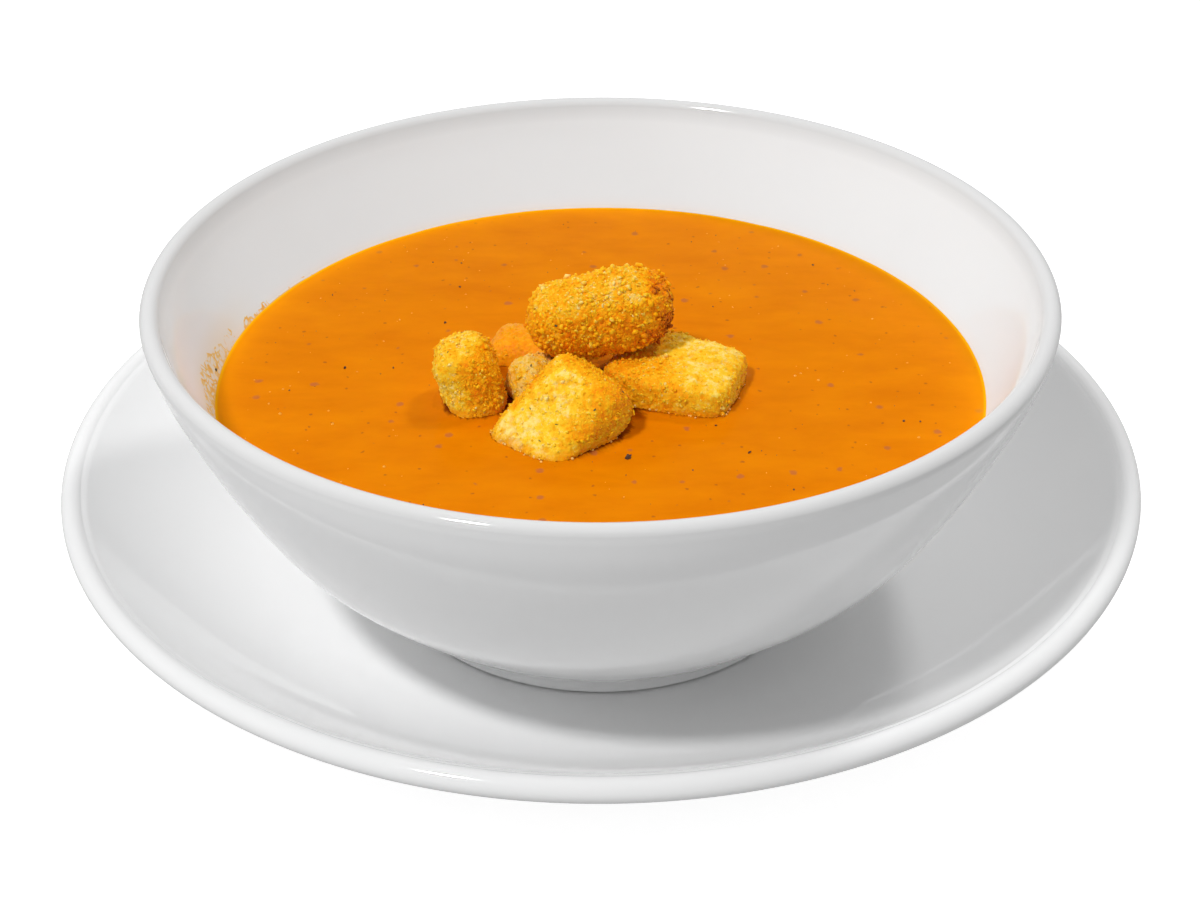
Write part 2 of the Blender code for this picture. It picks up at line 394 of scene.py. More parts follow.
def china_look():
    look = Look("white_glaze", Base_Color=(0.86, 0.86, 0.86, 1), Roughness=0.07, IOR=1.52)
    cloud = look.noise(0.03, detail=4)
    glaze = look.mix(cloud, (0.845, 0.848, 0.852), (0.872, 0.872, 0.870))
    # painted shade: the lip's brightly lit top is painted a darker grey
    glaze = look.mix(look.attribute("lip"), glaze, (0.70, 0.70, 0.70))
    # painted bounce light: the soup's orange glow on the inner left-hand wall
    look.set("Base Color", look.mix(look.attribute("stain"), glaze, (0.87, 0.74, 0.60)))
    gloss = look.span(look.noise(0.012, detail=5), 0.3, 0.7, 0.045, 0.09)
    # seen by the soup the glaze is dull, so that the wall throws no bright spot onto it
    path = look.node("ShaderNodeLightPath").outputs
    from_soup = look.maths("MAXIMUM", path["Is Diffuse Ray"], path["Is Glossy Ray"])
    look.set("Roughness", look.maths("MAXIMUM", gloss, look.maths("MULTIPLY", from_soup, 0.6)))
    ripple = look.bump(look.noise(0.018, detail=1), 0.00004)
    look.set("Normal", look.bump(look.noise(0.0016, detail=2), 0.0000012, below=ripple))
    return look


# ---------------------------------------------------------------- croutons
class Toast:
    """How one crouton is turned, and where its crumb and crust lie on it."""

    def __init__(self, spin, tilt, yaw, seed):
        self.spin, self.tilt, self.yaw = (math.radians(angle) for angle in (spin, tilt, yaw))
        self.seed = seed

    def axes(self):
        """Columns: the block's own length, width and height in the model's frame."""
        turned_by = Matrix.Rotation(self.yaw, 3, "Z") @ Matrix.Rotation(self.tilt, 3, "X")
        return np.array(turned_by @ Matrix.Rotation(self.spin, 3, "Z"))


TOASTS = {
    "crouton_top": Toast(20, 9, -4, 3),
    "crouton_left": Toast(95, 13, -85, 11),
    "crouton_front": Toast(-20, 43, -32, 7),
    "crouton_right": Toast(-85, 3, 66, 19),
    "crouton_middle": Toast(0, 12, 25, 23),
    "crouton_back": Toast(0, 4, -15, 31),
}
VOXEL = 0.00024                         # squares of the croutons' fine skin
# how uneven each crouton's sides are, and how wide their swells are
SWELL = {"crouton_top": 0.0006, "crouton_left": 0.0012, "crouton_front": 0.0007, "crouton_right": 0.0006,
         "crouton_middle": 0.0006, "crouton_back": 0.0005}
SWELL_SIZE = 0.0065
LUMP_SIZE, LUMP_HEIGHT = 0.004, 0.00020
NUB_SIZE, NUB_HEIGHT = 0.0011, 0.00022
PORE_SIZE, PORE_DEPTH = 0.0013, 0.00034         # open holes in the pale crumb
GRAIN_SIZE = 0.0007                             # the baked crust's grains
GRAIN_HEIGHT, COARSE_GRAIN_HEIGHT = 0.00022, 0.00030
WET_BAND = (0.0006, 0.0024)             # a crouton dries out between these heights above the soup
SOAKED = 0.6                            # how wet the back crouton is all over


def fine_copy(node):
    """The CAD crouton's skin as an even, fine mesh: corners and quads."""
    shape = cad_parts[node].data.copy()
    copy = bpy.data.objects.new("fine_" + node, shape)
    bpy.context.scene.collection.objects.link(copy)
    weld = copy.modifiers.new("weld", "WELD")
    weld.merge_threshold = 0.00001
    rounder = copy.modifiers.new("round", "SUBSURF")
    rounder.levels = rounder.render_levels = 1
    even = copy.modifiers.new("even", "REMESH")
    even.mode = "VOXEL"
    even.voxel_size = VOXEL
    bpy.context.view_layer.update()
    made = bpy.data.meshes.new_from_object(copy.evaluated_get(bpy.context.evaluated_depsgraph_get()))
    verts = np.empty(len(made.vertices) * 3, np.float32)
    made.vertices.foreach_get("co", verts)
    corners = np.empty(len(made.loops), np.int32)
    made.loops.foreach_get("vertex_index", corners)
    quads = corners.reshape(-1, 4)
    bpy.data.objects.remove(copy)
    bpy.data.meshes.remove(made)
    return verts.reshape(-1, 3).astype(float), quads.astype(int)


def vertex_normals(verts, quads):
    across = verts[quads[:, 2]] - verts[quads[:, 0]]
    along = verts[quads[:, 3]] - verts[quads[:, 1]]
    face = np.cross(across, along)
    normals = np.zeros_like(verts)
    for corner in range(4):
        np.add.at(normals, quads[:, corner], face)
    return normals / np.maximum(np.linalg.norm(normals, axis=1), 1e-12)[:, None]


def relax(verts, quads, rounds):
    """Evens out a mesh by moving each corner towards its neighbours' mean."""
    for _ in range(rounds):
        total = np.zeros_like(verts)
        count = np.zeros(len(verts))
        for corner in range(4):
            here = quads[:, corner]
            there = quads[:, (corner + 1) % 4]
            np.add.at(total, here, verts[there])
            np.add.at(total, there, verts[here])
            np.add.at(count, here, 1)
            np.add.at(count, there, 1)
        verts = 0.5 * verts + 0.5 * total / count[:, None]
    return verts


def painted(name, local, place, normals, facing, lumps):
    """How bare its crumb is and how dark its tone, from 0 cream to 1 dark brown, at each point of a crouton;
    on the top and front croutons the tone also holds painted light and shade.

    local runs from -1 to 1 along the block's own axes, place along the model's."""
    right, back, high = place.T
    top = smooth_step(facing[:, 2], 0.35, 0.85)
    edge = smooth_step(np.maximum(np.abs(local[:, 0]), np.abs(local[:, 1])) + 0.30 * lumps, 0.62, 0.98)
    if name == "crouton_top":
        # the right end is browner, partly painted shade on the side away from the lamp; upward faces are
        # paler and downward faces darker, painted light and shade
        brown = smooth_step(right + 0.3 * lumps, 0.42, 0.95)
        above = smooth_step(normals[:, 2], 0.1, 0.9)
        below = smooth_step(-normals[:, 2], 0.0, 0.8)
        tone = 0.44 + 0.32 * brown - 0.17 * above * (1 - 0.6 * brown) + 0.16 * below + 0.16 * lumps
        return np.zeros(len(lumps)), tone
    if name == "crouton_left":
        height = 0.75 * high + 0.4 * back
        border = -0.30 + 0.6 * smooth_step(height, 0.1, 0.9)
        brown = smooth_step(right - border + 0.3 * lumps, -0.15, 0.3)
        foot = smooth_step(-height, 0.35, 0.8)
        tone = 0.24 + 0.21 * brown * (1 - 0.65 * foot) + 0.06 * foot + 0.13 * lumps
        return 0.55 * (1 - brown) * (1 - 0.5 * foot), tone
    if name == "crouton_front":
        # the right-hand sides, turned from the lamp, are painted darker: painted shade
        side = smooth_step(right + 0.3 * lumps, 0.15, 0.75)
        pale = 0.95 * top * (1 - edge) * (1 - 0.75 * side)
        return pale, 0.40 - 0.26 * pale + 0.08 * side * (1 - 0.6 * top) + 0.12 * lumps
    if name == "crouton_right":
        bare = smooth_step(right + 0.35 * lumps, -0.30, 0.15)
        pale = 0.95 * top * (1 - edge) * bare
        corner = smooth_step(-right + 0.3 * lumps, 0.35, 0.85)
        end = smooth_step(right, 0.7, 1.0) * (1 - top)
        return pale, 0.35 - 0.17 * pale + 0.11 * corner + 0.14 * end + 0.11 * lumps
    if name == "crouton_middle":
        pale = 0.5 + 0.2 * lumps
        return pale, 0.15 - 0.10 * pale + 0.06 * lumps
    return 0.1 * top, 0.47 - 0.16 * smooth_step(right, -0.2, 0.6) * top + 0.10 * lumps


def make_crouton(name, look):
    """Roughens and colours one crouton, and returns its skin for what is scattered on it."""
    toast = TOASTS[name]
    verts, quads = fine_copy(name)
    verts = relax(verts, quads, 3)
    axes = toast.axes()
    low, high = (np.array(corner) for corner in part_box(name))
    middle = (low + high) / 2
    own = (verts - middle) @ axes
    local = own / np.abs(own).max(0)
    place = (verts - middle) / ((high - low) / 2)
    normals = vertex_normals(verts, quads)
    facing = normals @ axes
    shifted = own + toast.seed * 0.01
    lumps = rough_noise(shifted, LUMP_SIZE, toast.seed)
    pale, tone = painted(name, local, place, normals, facing, lumps)
    coarse = name == "crouton_top"
    pore = smooth_step(rough_noise(shifted, PORE_SIZE, toast.seed + 5), 0.0, 0.5)
    bent = shifted + 0.0003 * np.stack([soft_noise(shifted, 0.0009, toast.seed + k) for k in (41, 42, 43)], 1)
    grain_near, _, grain_name = cells(bent, GRAIN_SIZE, toast.seed + 9)
    grain = 1 - smooth_step(grain_near, 0.0, 0.75)
    lift = SWELL[name] * rough_noise(shifted, SWELL_SIZE, toast.seed + 13, 2) + LUMP_HEIGHT * lumps
    lift += NUB_HEIGHT * rough_noise(shifted, NUB_SIZE, toast.seed + 17)
    lift += pale * (0.00008 - PORE_DEPTH * pore)
    lift += (1 - pale) * (COARSE_GRAIN_HEIGHT if coarse else GRAIN_HEIGHT) * (grain - 0.4)
    verts = verts + normals * lift[:, None]
    tone = tone + 0.09 * (grain_name - 0.5) * (1 - pale)
    # painted shade in the crumb's open pores and between the crust's grains
    cavity = 0.72 * pale * pore + (1 - pale) * (1 - grain)
    water = verts[:, 2] - SOUP_LEVEL + 0.0006 * lumps
    wet = 1 - smooth_step(water, *WET_BAND)
    if name == "crouton_back":
        wet = np.maximum(wet, SOAKED)
    # the top crouton's skin is painted darker all over, as shade under its crumbs
    if coarse:
        cavity = 0.3 + 0.7 * cavity
    piece(name + "_toast", verts, quads, look, "toast", replaces=[name],
          tone=np.clip(tone, 0, 1), cavity=cavity, wet=wet)
    return dict(verts=verts, quads=quads, normals=vertex_normals(verts, quads), pale=pale, tone=tone, wet=wet)


def toast_look(name):
    look = Look(name, Roughness=0.62, IOR=1.42, Subsurface_Weight=0.20, Subsurface_Scale=0.0010)
    look.shader.inputs["Subsurface Radius"].default_value = (0.7, 0.50, 0.15)
    look.shader.inputs["Specular IOR Level"].default_value = 0.16
    mottle = look.maths("MULTIPLY_ADD", look.noise(0.0015, detail=6, roughness=0.75), 1.4, -0.70)
    tone = look.maths("ADD", look.attribute("tone"), mottle)
    colour = look.ramp(tone, (0.0, (1.0, 0.74, 0.24)), (0.18, (1.0, 0.62, 0.024)), (0.42, (1.0, 0.46, 0.001)),
                       (0.68, (0.94, 0.31, 0.001)), (0.88, (0.60, 0.15, 0.002)), (1.0, (0.30, 0.06, 0.002)))
    # painted shade in the hollows, a warm orange-brown
    cavity = look.maths("MULTIPLY", look.attribute("cavity"), 0.75)
    colour = look.mix(cavity, colour, (0.94, 0.62, 0.04), "MULTIPLY")
    wet = look.attribute("wet")
    colour = look.mix(look.maths("MULTIPLY", wet, 0.6), colour, (0.84, 0.29, 0.003))
    look.set("Base Color", colour)
    look.set("Roughness", look.span(wet, 0.0, 1.0, 0.62, 0.16))
    look.set("Normal", look.bump(look.noise(0.0005, detail=4, roughness=0.65), 0.00020))
    return look


# ---------------------------------------------------------------- crumbs and flecks
def icosahedron():
    """Corners and faces of a regular icosahedron of radius 1."""
    golden = (1 + math.sqrt(5)) / 2
    corners = []
    for a in (-1, 1):
        for b in (-golden, golden):
            corners += [(0, a, b), (a, b, 0), (b, 0, a)]
    corners = np.array(corners) / math.hypot(1, golden)
    edge = min(np.linalg.norm(corners[0] - corners[k]) for k in range(1, 12)) * 1.01
    faces = []
    for a in range(12):
        for b in range(a + 1, 12):
            for c in range(b + 1, 12):
                sides = (corners[a] - corners[b], corners[b] - corners[c], corners[a] - corners[c])
                if all(np.linalg.norm(side) < edge for side in sides):
                    outward = np.cross(corners[b] - corners[a], corners[c] - corners[a]) @ corners[a] > 0
                    faces.append((a, b, c) if outward else (a, c, b))
    return corners, np.array(faces)


BALL, BALL_FACES = icosahedron()


def random_turns(count, rng):
    """That many random rotation matrices."""
    spun = rng.normal(size=(count, 4))
    w, x, y, z = (spun / np.linalg.norm(spun, axis=1)[:, None]).T
    return np.stack([1 - 2 * (y * y + z * z), 2 * (x * y - z * w), 2 * (x * z + y * w),
                     2 * (x * y + z * w), 1 - 2 * (x * x + z * z), 2 * (y * z - x * w),
                     2 * (x * z - y * w), 2 * (y * z + x * w), 1 - 2 * (x * x + y * y)], 1).reshape(-1, 3, 3)


def chips(points, radii, rng, ragged=0.3, stretch=(0.65, 1.35)):
    """Many small irregular lumps at the points, as one set of corners and faces."""
    count = len(points)
    shapes = BALL[None] * (1 + ragged * rng.uniform(-1, 1, (count, 12, 1)))
    shapes = shapes * rng.uniform(*stretch, (count, 1, 3))
    shapes = np.einsum("nij,nkj->nki", random_turns(count, rng), shapes)
    return joined(points, shapes * radii[:, None, None])


def flakes(points, normals, lengths, rng, width=0.35, thickness=0.12):
    """Small flat ragged flakes that lie on a surface, each turned its own way."""
    count = len(points)
    side = np.cross(normals, rng.normal(size=(count, 3)))
    side /= np.linalg.norm(side, axis=1)[:, None]
    other = np.cross(normals, side)
    shapes = BALL[None] * (1 + 0.35 * rng.uniform(-1, 1, (count, 12, 1)))
    widths = width * rng.uniform(0.6, 1.4, count)
    shapes = (shapes[..., :1] * side[:, None] + shapes[..., 1:2] * (other * widths[:, None])[:, None]
              + shapes[..., 2:] * thickness * normals[:, None])
    return joined(points, shapes * lengths[:, None, None] / 2)


def joined(points, shapes):
    verts = points[:, None] + shapes
    faces = BALL_FACES[None] + 12 * np.arange(len(points))[:, None, None]
    return verts.reshape(-1, 3), faces.reshape(-1, 3)


def scatter(skin, weight, count, rng):
    """Points on a skin, more where the weight is high: places, normals and a corner beside each."""
    quads = skin["quads"]
    verts = skin["verts"]
    area = np.linalg.norm(np.cross(verts[quads[:, 2]] - verts[quads[:, 0]],
                                   verts[quads[:, 3]] - verts[quads[:, 1]]), axis=1)
    chance = area * weight[quads].mean(1)
    chosen = rng.choice(len(quads), size=count, p=chance / chance.sum())
    u, v = rng.random((2, count, 1))
    a, b, c, d = (verts[quads[chosen, k]] for k in range(4))
    points = (a * (1 - u) + b * u) * (1 - v) + (d * (1 - u) + c * u) * v
    return points, skin["normals"][quads[chosen, 0]], quads[chosen, 0]


# crouton: how many crumbs, their smallest and largest radius, the share of loose ones
CRUMBS = {
    "crouton_top": (6600, (0.00013, 0.00048), 0.09),
    "crouton_left": (2800, (0.00011, 0.00033), 0.06),
    "crouton_front": (3800, (0.00011, 0.00033), 0.05),
    "crouton_right": (3400, (0.00011, 0.00032), 0.04),
    "crouton_middle": (1100, (0.00012, 0.00034), 0.03),
    "crouton_back": (500, (0.00012, 0.00026), 0.0),
}
CRUMB_RARITY = 3.2                      # the higher, the fewer crumbs are large
LOOSE_SCALE = 1.4
# how far their middles stand over the crust, in radii
LOOSE_STANDING, BAKED_STANDING = (0.1, 0.9), (-0.85, 0.25)


def make_crumbs(name, skin, look):
    """Baked-on crumbs over a crouton, and a share of loose ones that stick out and are larger."""
    count, (smallest, largest), loose = CRUMBS[name]
    rng = np.random.default_rng(TOASTS[name].seed)
    weight = (1 - 0.7 * skin["wet"]) * (1.1 - 0.8 * skin["pale"]) * (skin["verts"][:, 2] > SOUP_LEVEL)
    points, normals, corner = scatter(skin, weight, count, rng)
    is_loose = rng.random(count) < loose
    spread = rng.random(count) ** CRUMB_RARITY * np.where(is_loose, LOOSE_SCALE, 1)
    radii = smallest + (largest - smallest) * spread
    standing = np.where(is_loose, rng.uniform(*LOOSE_STANDING, count), rng.uniform(*BAKED_STANDING, count))
    points = points + normals * (radii * standing)[:, None]
    verts, faces = chips(points, radii, rng, 0.48, (0.45, 1.45))
    # painted shade at each crumb's base, where it sits in the crust
    out = np.einsum("nkj,nj->nk", verts.reshape(count, 12, 3) - points[:, None], normals) / radii[:, None]
    tone = np.clip(skin["tone"][corner] + rng.normal(0.0, 0.11, count) - 0.06 * is_loose, 0, 1)
    piece(name + "_crumbs", verts, faces, look, "toast", tone=np.repeat(tone, 12),
          wet=np.repeat(skin["wet"][corner], 12), cavity=(1 - smooth_step(out, -0.6, 0.5)).ravel())


# ---------------------------------------------------------------- soup
SOUP_SEGMENTS = 400
SOUP_REACH = 0.0004                     # the soup reaches this far into the china, so that no gap shows
WALL_CLIMB, WALL_CLIMB_WIDTH = 0.0003, 0.0008           # its rise against the wall
TOAST_CLIMB, TOAST_CLIMB_WIDTH = 0.0007, 0.0009         # its rise against a crouton
UNDER_TOAST = -0.0004                   # its surface inside a crouton, where it can't show
THIN_WIDTH = 0.0022                     # it is thin and pale this near to the wall, and its lighter colour there is partly painted light over the wall's shadow
CROUTONS_WITHIN = 0.036                 # the croutons stand within this radius of the bowl's axis
NEAR_TOAST = 0.008
HIDDEN_SKY = (0.42, 0.66)               # shares of the sky hidden by croutons, from no shade to the deepest
SKY = [Vector((math.cos(turn) * math.cos(lift), math.sin(turn) * math.cos(lift), math.sin(lift)))
       for lift in (0.5, 0.9, 1.3) for turn in np.arange(5) * 1.2566 + lift]


def toast_distances(points, from_axis, trees):
    """How far each point is from the nearest crouton: negative inside one, 1 away from them all."""
    distances = np.full(len(points), 1.0)
    for index in np.where(from_axis < CROUTONS_WITHIN)[0]:
        point = Vector(points[index])
        for tree in trees:
            spot, normal, _, distance = tree.find_nearest(point, NEAR_TOAST)
            if spot is not None:
                inside = (point - spot).dot(normal) < 0
                distances[index] = min(distances[index], -distance if inside else distance)
    return distances


def hidden_sky(points, near_toast, trees):
    """The share of the sky that the croutons hide from each point."""
    share = np.zeros(len(points))
    for index in np.where((near_toast < NEAR_TOAST) & (near_toast > -0.0015))[0]:
        spot = Vector(points[index]) + Vector((0, 0, 0.0006))
        share[index] = np.mean([any(tree.ray_cast(spot, way, 0.03)[0] is not None for tree in trees)
                                for way in SKY])
    return share


def soup_underside():
    """The outline from the middle of the bowl's floor outwards and up the wall, just inside the china."""
    inside = bowl_inside()
    under = offset_line(inside[inside[:, 1] < SOUP_LEVEL - BOWL_FOOT - 0.0002], -SOUP_REACH)
    under[0] = (0, under[0][1])
    return under


def make_soup(look, trees):
    """The soup down to the bowl's floor, its surface rising a little against the wall and the croutons."""
    wall = float(wall_radius(SOUP_LEVEL + WALL_CLIMB))
    edge = wall + SOUP_REACH
    # finer round the croutons and close to the wall
    radii = np.concatenate([np.linspace(0.0004, 0.034, 80, endpoint=False),
                            np.linspace(0.034, edge - 0.004, 34, endpoint=False),
                            np.linspace(edge - 0.004, edge, 14)])
    segments = SOUP_SEGMENTS
    flat = rings(radii, np.full(len(radii), SOUP_LEVEL), BOWL_AXIS, circle(segments))
    from_axis = np.repeat(radii, segments)
    from_wall = wall - from_axis
    near_toast = toast_distances(flat, from_axis, trees)
    height = WALL_CLIMB * np.exp(-np.maximum(from_wall, 0) / WALL_CLIMB_WIDTH)
    height += 0.00006 * rough_noise(flat, 0.011, 5) + 0.000022 * rough_noise(flat, 0.0035, 8)
    rise = TOAST_CLIMB * np.exp(-np.maximum(near_toast, 0) / TOAST_CLIMB_WIDTH)
    height += np.where(near_toast < -0.0003, UNDER_TOAST, rise)
    top = flat.copy()
    top[:, 2] += height
    under = soup_underside()
    bed = rings(under[1:, 0], BOWL_FOOT + under[1:, 1], BOWL_AXIS, circle(segments))
    verts = np.concatenate([top, bed, [(*BOWL_AXIS, SOUP_LEVEL), (*BOWL_AXIS, BOWL_FOOT + under[0][1])]])
    top_middle, bed_middle = len(verts) - 2, len(verts) - 1
    last_top, last_bed = len(top) - segments, top_middle - segments
    faces = []
    for low in range(0, last_top, segments):
        faces += band(low, low + segments, segments)[:, QUAD_FLIPPED].tolist()
    for low in range(len(top), last_bed, segments):
        faces += band(low, low + segments, segments).tolist()
    faces += band(last_bed, last_top, segments).tolist()
    faces += fan(top_middle, 0, segments).tolist()
    faces += fan(bed_middle, len(top), segments)[:, FAN_FLIPPED].tolist()
    # pale where thin at the wall, partly painted light over the wall's shadow
    thin = np.zeros(len(verts))
    thin[:len(top)] = np.exp(-np.maximum(from_wall, 0) / THIN_WIDTH)
    # painted shade: the soup is painted deep red where the croutons hide its sky
    gap = np.zeros(len(verts))
    gap[:len(top)] = smooth_step(hidden_sky(flat, near_toast, trees), *HIDDEN_SKY)
    piece("tomato_soup", verts, faces, look, "soup", replaces=["soup"], thin=thin, gap=gap)


SOUP_BOUNCE = (0.58, 0.560, 0.545)      # the soup's colour as the china takes it up
# two kinds of pinkish flecks: how far apart they are, their largest radius as a share of that, colour
SOUP_FLECKS = ((0.0085, 0.105, (0.44, 0.12, 0.040)), (0.0050, 0.08, (0.36, 0.085, 0.016)))


def soup_look():
    look = Look("tomato_soup_surface", Roughness=0.18, IOR=1.06, Subsurface_Weight=0.15,
                Subsurface_Scale=0.003)
    look.shader.inputs["Subsurface Radius"].default_value = (1.0, 0.35, 0.05)
    look.shader.inputs["Specular Tint"].default_value = (1.0, 0.62, 0.15, 1)
    # streaks of colour, longer from left to right: partly the soup's own mottling, partly painted reflections
    # of its rippled surface
    streaky = look.node("ShaderNodeMapping", Vector=look.place, Scale=(0.45, 1, 1)).outputs["Vector"]
    cloud = look.node("ShaderNodeTexNoise", Vector=streaky, Scale=1 / 0.007, Detail=6.0, Roughness=0.62,
                      Distortion=0.2).outputs["Fac"]
    colour = look.ramp(cloud, (0.32, (0.670, 0.174, 0.0004)), (0.50, (0.715, 0.196, 0.0005)),
                       (0.70, (0.760, 0.222, 0.0006)))
    flat = look.node("ShaderNodeMapping", Vector=look.place, Scale=(1, 1, 0)).outputs["Vector"]
    wander = look.node("ShaderNodeTexNoise", Vector=flat, Scale=700.0, Detail=2.0).outputs["Color"]
    wobbly = look.node("ShaderNodeVectorMath", {"operation": "MULTIPLY_ADD"})
    look.feed(wobbly.inputs[0], wander)
    wobbly.inputs[1].default_value = (0.0012, 0.0009, 0)
    look.feed(wobbly.inputs[2], flat)
    for size, radius, shade in SOUP_FLECKS:
        spots = look.node("ShaderNodeTexVoronoi", {"voronoi_dimensions": "2D"},
                          Vector=wobbly.outputs[0], Scale=1 / size)
        chance = look.node("ShaderNodeSeparateColor", Color=spots.outputs["Color"]).outputs["Red"]
        reach = look.maths("MULTIPLY", look.span(chance, 0.2, 1.0), radius)
        near = look.maths("SUBTRACT", reach, spots.outputs["Distance"])
        colour = look.mix(look.span(near, -0.01, 0.06, 0.0, 0.7), colour, shade)
    # paler where it is thin at the wall, partly as painted light over the wall's shadow; painted shade, deep
    # red, in the gaps between the croutons
    thin = look.attribute("thin")
    colour = look.mix(look.maths("MULTIPLY", thin, 0.8), colour, (0.98, 0.33, 0.001))
    colour = look.mix(look.span(thin, 0.72, 0.95, 0.0, 0.85), colour, (1.0, 0.47, 0.002))
    colour = look.mix(look.maths("MULTIPLY", look.attribute("gap"), 0.95), colour, (0.16, 0.026, 0.001))
    # the china sees a paler soup, so that its wall is not tinted a strong orange
    path = look.node("ShaderNodeLightPath").outputs
    bounced = look.maths("MULTIPLY", path["Is Diffuse Ray"], look.span(path["Ray Length"], 0.0015, 0.0035))
    bounced = look.maths("MAXIMUM", bounced, look.maths("MULTIPLY", path["Is Glossy Ray"], 0.5))
    look.set("Base Color", look.mix(bounced, colour, SOUP_BOUNCE))
    return look


# ---------------------------------------------------------------- what floats in the soup
def free_spots(trees, count, rng, margin=0.0007, reach=0.0665):
    """Places on the soup's surface, clear of the croutons."""
    spots = []
    while len(spots) < count:
        angle, share = 2 * math.pi * rng.random(), math.sqrt(rng.random())
        spot = Vector((BOWL_AXIS[0] + reach * share * math.cos(angle),
                       BOWL_AXIS[1] + reach * share * math.sin(angle), SOUP_LEVEL))
        if is_clear(spot, trees, margin):
            spots.append(spot)
    return np.array(spots)


def is_clear(spot, trees, margin):
    for tree in trees:
        touch, normal, _, distance = tree.find_nearest(spot, 0.03)
        if touch is not None and (distance < margin or (spot - touch).dot(normal) < 0):
            return False
    return True


# the coarse grains: how far to the right and to the back of the bowl's axis, and the radius
PEPPER_SPOTS = ((0.0046, -0.0279, 0.00062), (-0.0295, 0.0198, 0.00030), (-0.0275, 0.0343, 0.00032),
                (0.0201, -0.0177, 0.00036), (0.0253, -0.0265, 0.00036), (-0.0467, 0.0029, 0.00045),
                (-0.0379, 0.0028, 0.00036))
FINE_PEPPER = 70
STRANDED_HEIGHT, STRANDED_RADIUS = 0.0014, 0.00042      # the grain on the wall, over the soup
PULP_BITS = 150
# how many pale beads, painted glints, sit at each crouton's waterline
SHORE_BUBBLES = {"crouton_front": 46, "crouton_right": 54, "crouton_left": 14, "crouton_middle": 3}
HERB_FLECKS = {"crouton_top": 14, "crouton_left": 7, "crouton_front": 14, "crouton_right": 9,
               "crouton_middle": 2}


def make_pepper(trees, look):
    """Ground pepper afloat, fine and coarse, and one grain stranded on the left-hand wall."""
    rng = np.random.default_rng(41)
    fine = free_spots(trees, FINE_PEPPER, rng)
    coarse = np.array([(BOWL_AXIS[0] + x, BOWL_AXIS[1] + y, SOUP_LEVEL) for x, y, _ in PEPPER_SPOTS])
    points = np.concatenate([fine, coarse])
    radii = np.concatenate([0.00010 + 0.00018 * rng.random(len(fine)) ** 2.5,
                            [radius for _, _, radius in PEPPER_SPOTS]])
    points[:, 2] += 0.15 * radii
    climbed = SOUP_LEVEL + STRANDED_HEIGHT
    points = np.concatenate([points, [(BOWL_AXIS[0] - wall_radius(climbed), BOWL_AXIS[1], climbed)]])
    radii = np.append(radii, STRANDED_RADIUS)
    verts, faces = chips(points, radii, rng, 0.35, (0.45, 1.2))
    piece("pepper", verts, faces, look, "soup", smooth=False)


def make_pulp(trees, look):
    """Pale bits of vegetable pulp and little bubbles that break the surface."""
    rng = np.random.default_rng(53)
    points = free_spots(trees, PULP_BITS, rng)
    radii = 0.00011 + 0.00022 * rng.random(len(points)) ** 2.2
    points[:, 2] -= 0.25 * radii
    verts, faces = chips(points, radii, rng, 0.12, (0.8, 1.2))
    piece("pulp", verts, faces, look, "soup")


def make_beads(skins, look):
    """Tiny pale beads along the croutons' waterlines: wet droplets, coloured pale as painted glints."""
    rng = np.random.default_rng(67)
    found = []
    for name, count in SHORE_BUBBLES.items():
        verts = skins[name]["verts"]
        shore = verts[np.abs(verts[:, 2] - SOUP_LEVEL - 0.0005) < 0.00035]
        front = shore[shore[:, 1] < np.median(shore[:, 1]) + 0.002]
        found.append(front[rng.choice(len(front), count)])
    points = np.concatenate(found)
    radii = 0.00010 + 0.00024 * rng.random(len(points)) ** 2
    points = points + rng.normal(0, 0.0002, points.shape) * (1, 1, 0.4)
    verts, faces = chips(points, radii, rng, 0.06, (0.85, 1.15))
    piece("shore_bubbles", verts, faces, look, "soup")


def make_herbs(skins, look):
    """Dried herb flecks baked onto the croutons."""
    rng = np.random.default_rng(71)
    verts, faces, start = [], [], 0
    for name, count in HERB_FLECKS.items():
        skin = skins[name]
        weight = np.where(skin["verts"][:, 2] > SOUP_LEVEL + 0.001, 1.0, 0.0)
        points, normals, _ = scatter(skin, weight, count, rng)
        lengths = 0.00025 + 0.0008 * rng.random(count) ** 2
        more, skinned = flakes(points + 0.00008 * normals, normals, lengths, rng)
        verts.append(more)
        faces.append(skinned + start)
        start += len(more)
    piece("herbs", np.concatenate(verts), np.concatenate(faces), look, "toast", smooth=False)


SMEAR_FROM, SMEAR_TO = 143, 201         # degrees round the bowl, counted from the right-hand side
SMEAR_HEIGHT = 0.0057
SMEAR_STEP = 0.00014                    # its mesh's squares
SMEAR_THICKNESS = 0.00010
SMEAR_BED = 0.00003                     # where there is no film, the mesh lies this far inside the wall
LACE_SIZE = 0.0014                      # the holes in it


def smear_grid():
    """The wall over the waterline: points, normals, heights over it, shares of the way round, grid size."""
    inside = bowl_inside()
    inside = inside[(inside[:, 1] > SOUP_LEVEL - BOWL_FOOT - 0.001)]
    climb = np.concatenate([[0], np.cumsum(np.linalg.norm(np.diff(inside, axis=0), axis=1))])
    start = np.interp(SOUP_LEVEL - BOWL_FOOT, inside[:, 1], climb)
    rows = np.arange(0, SMEAR_HEIGHT * 1.4, SMEAR_STEP)
    radius = np.interp(start + rows, climb, inside[:, 0])
    height = np.interp(start + rows, climb, inside[:, 1])
    outwards, upwards = np.gradient(radius, rows), np.gradient(height, rows)
    span = math.radians(SMEAR_TO - SMEAR_FROM)
    columns = int(span * radius[0] / SMEAR_STEP)
    angles = math.radians(SMEAR_FROM) + span * np.arange(columns + 1) / columns
    normals = rings(-upwards, outwards, (0, 0), angles)
    wall = rings(radius, BOWL_FOOT + height, BOWL_AXIS, angles)
    up = np.repeat(rows, len(angles))
    along = np.tile(np.linspace(0, 1, len(angles)), len(rows))
    return wall, normals, up, along, (len(rows), len(angles))


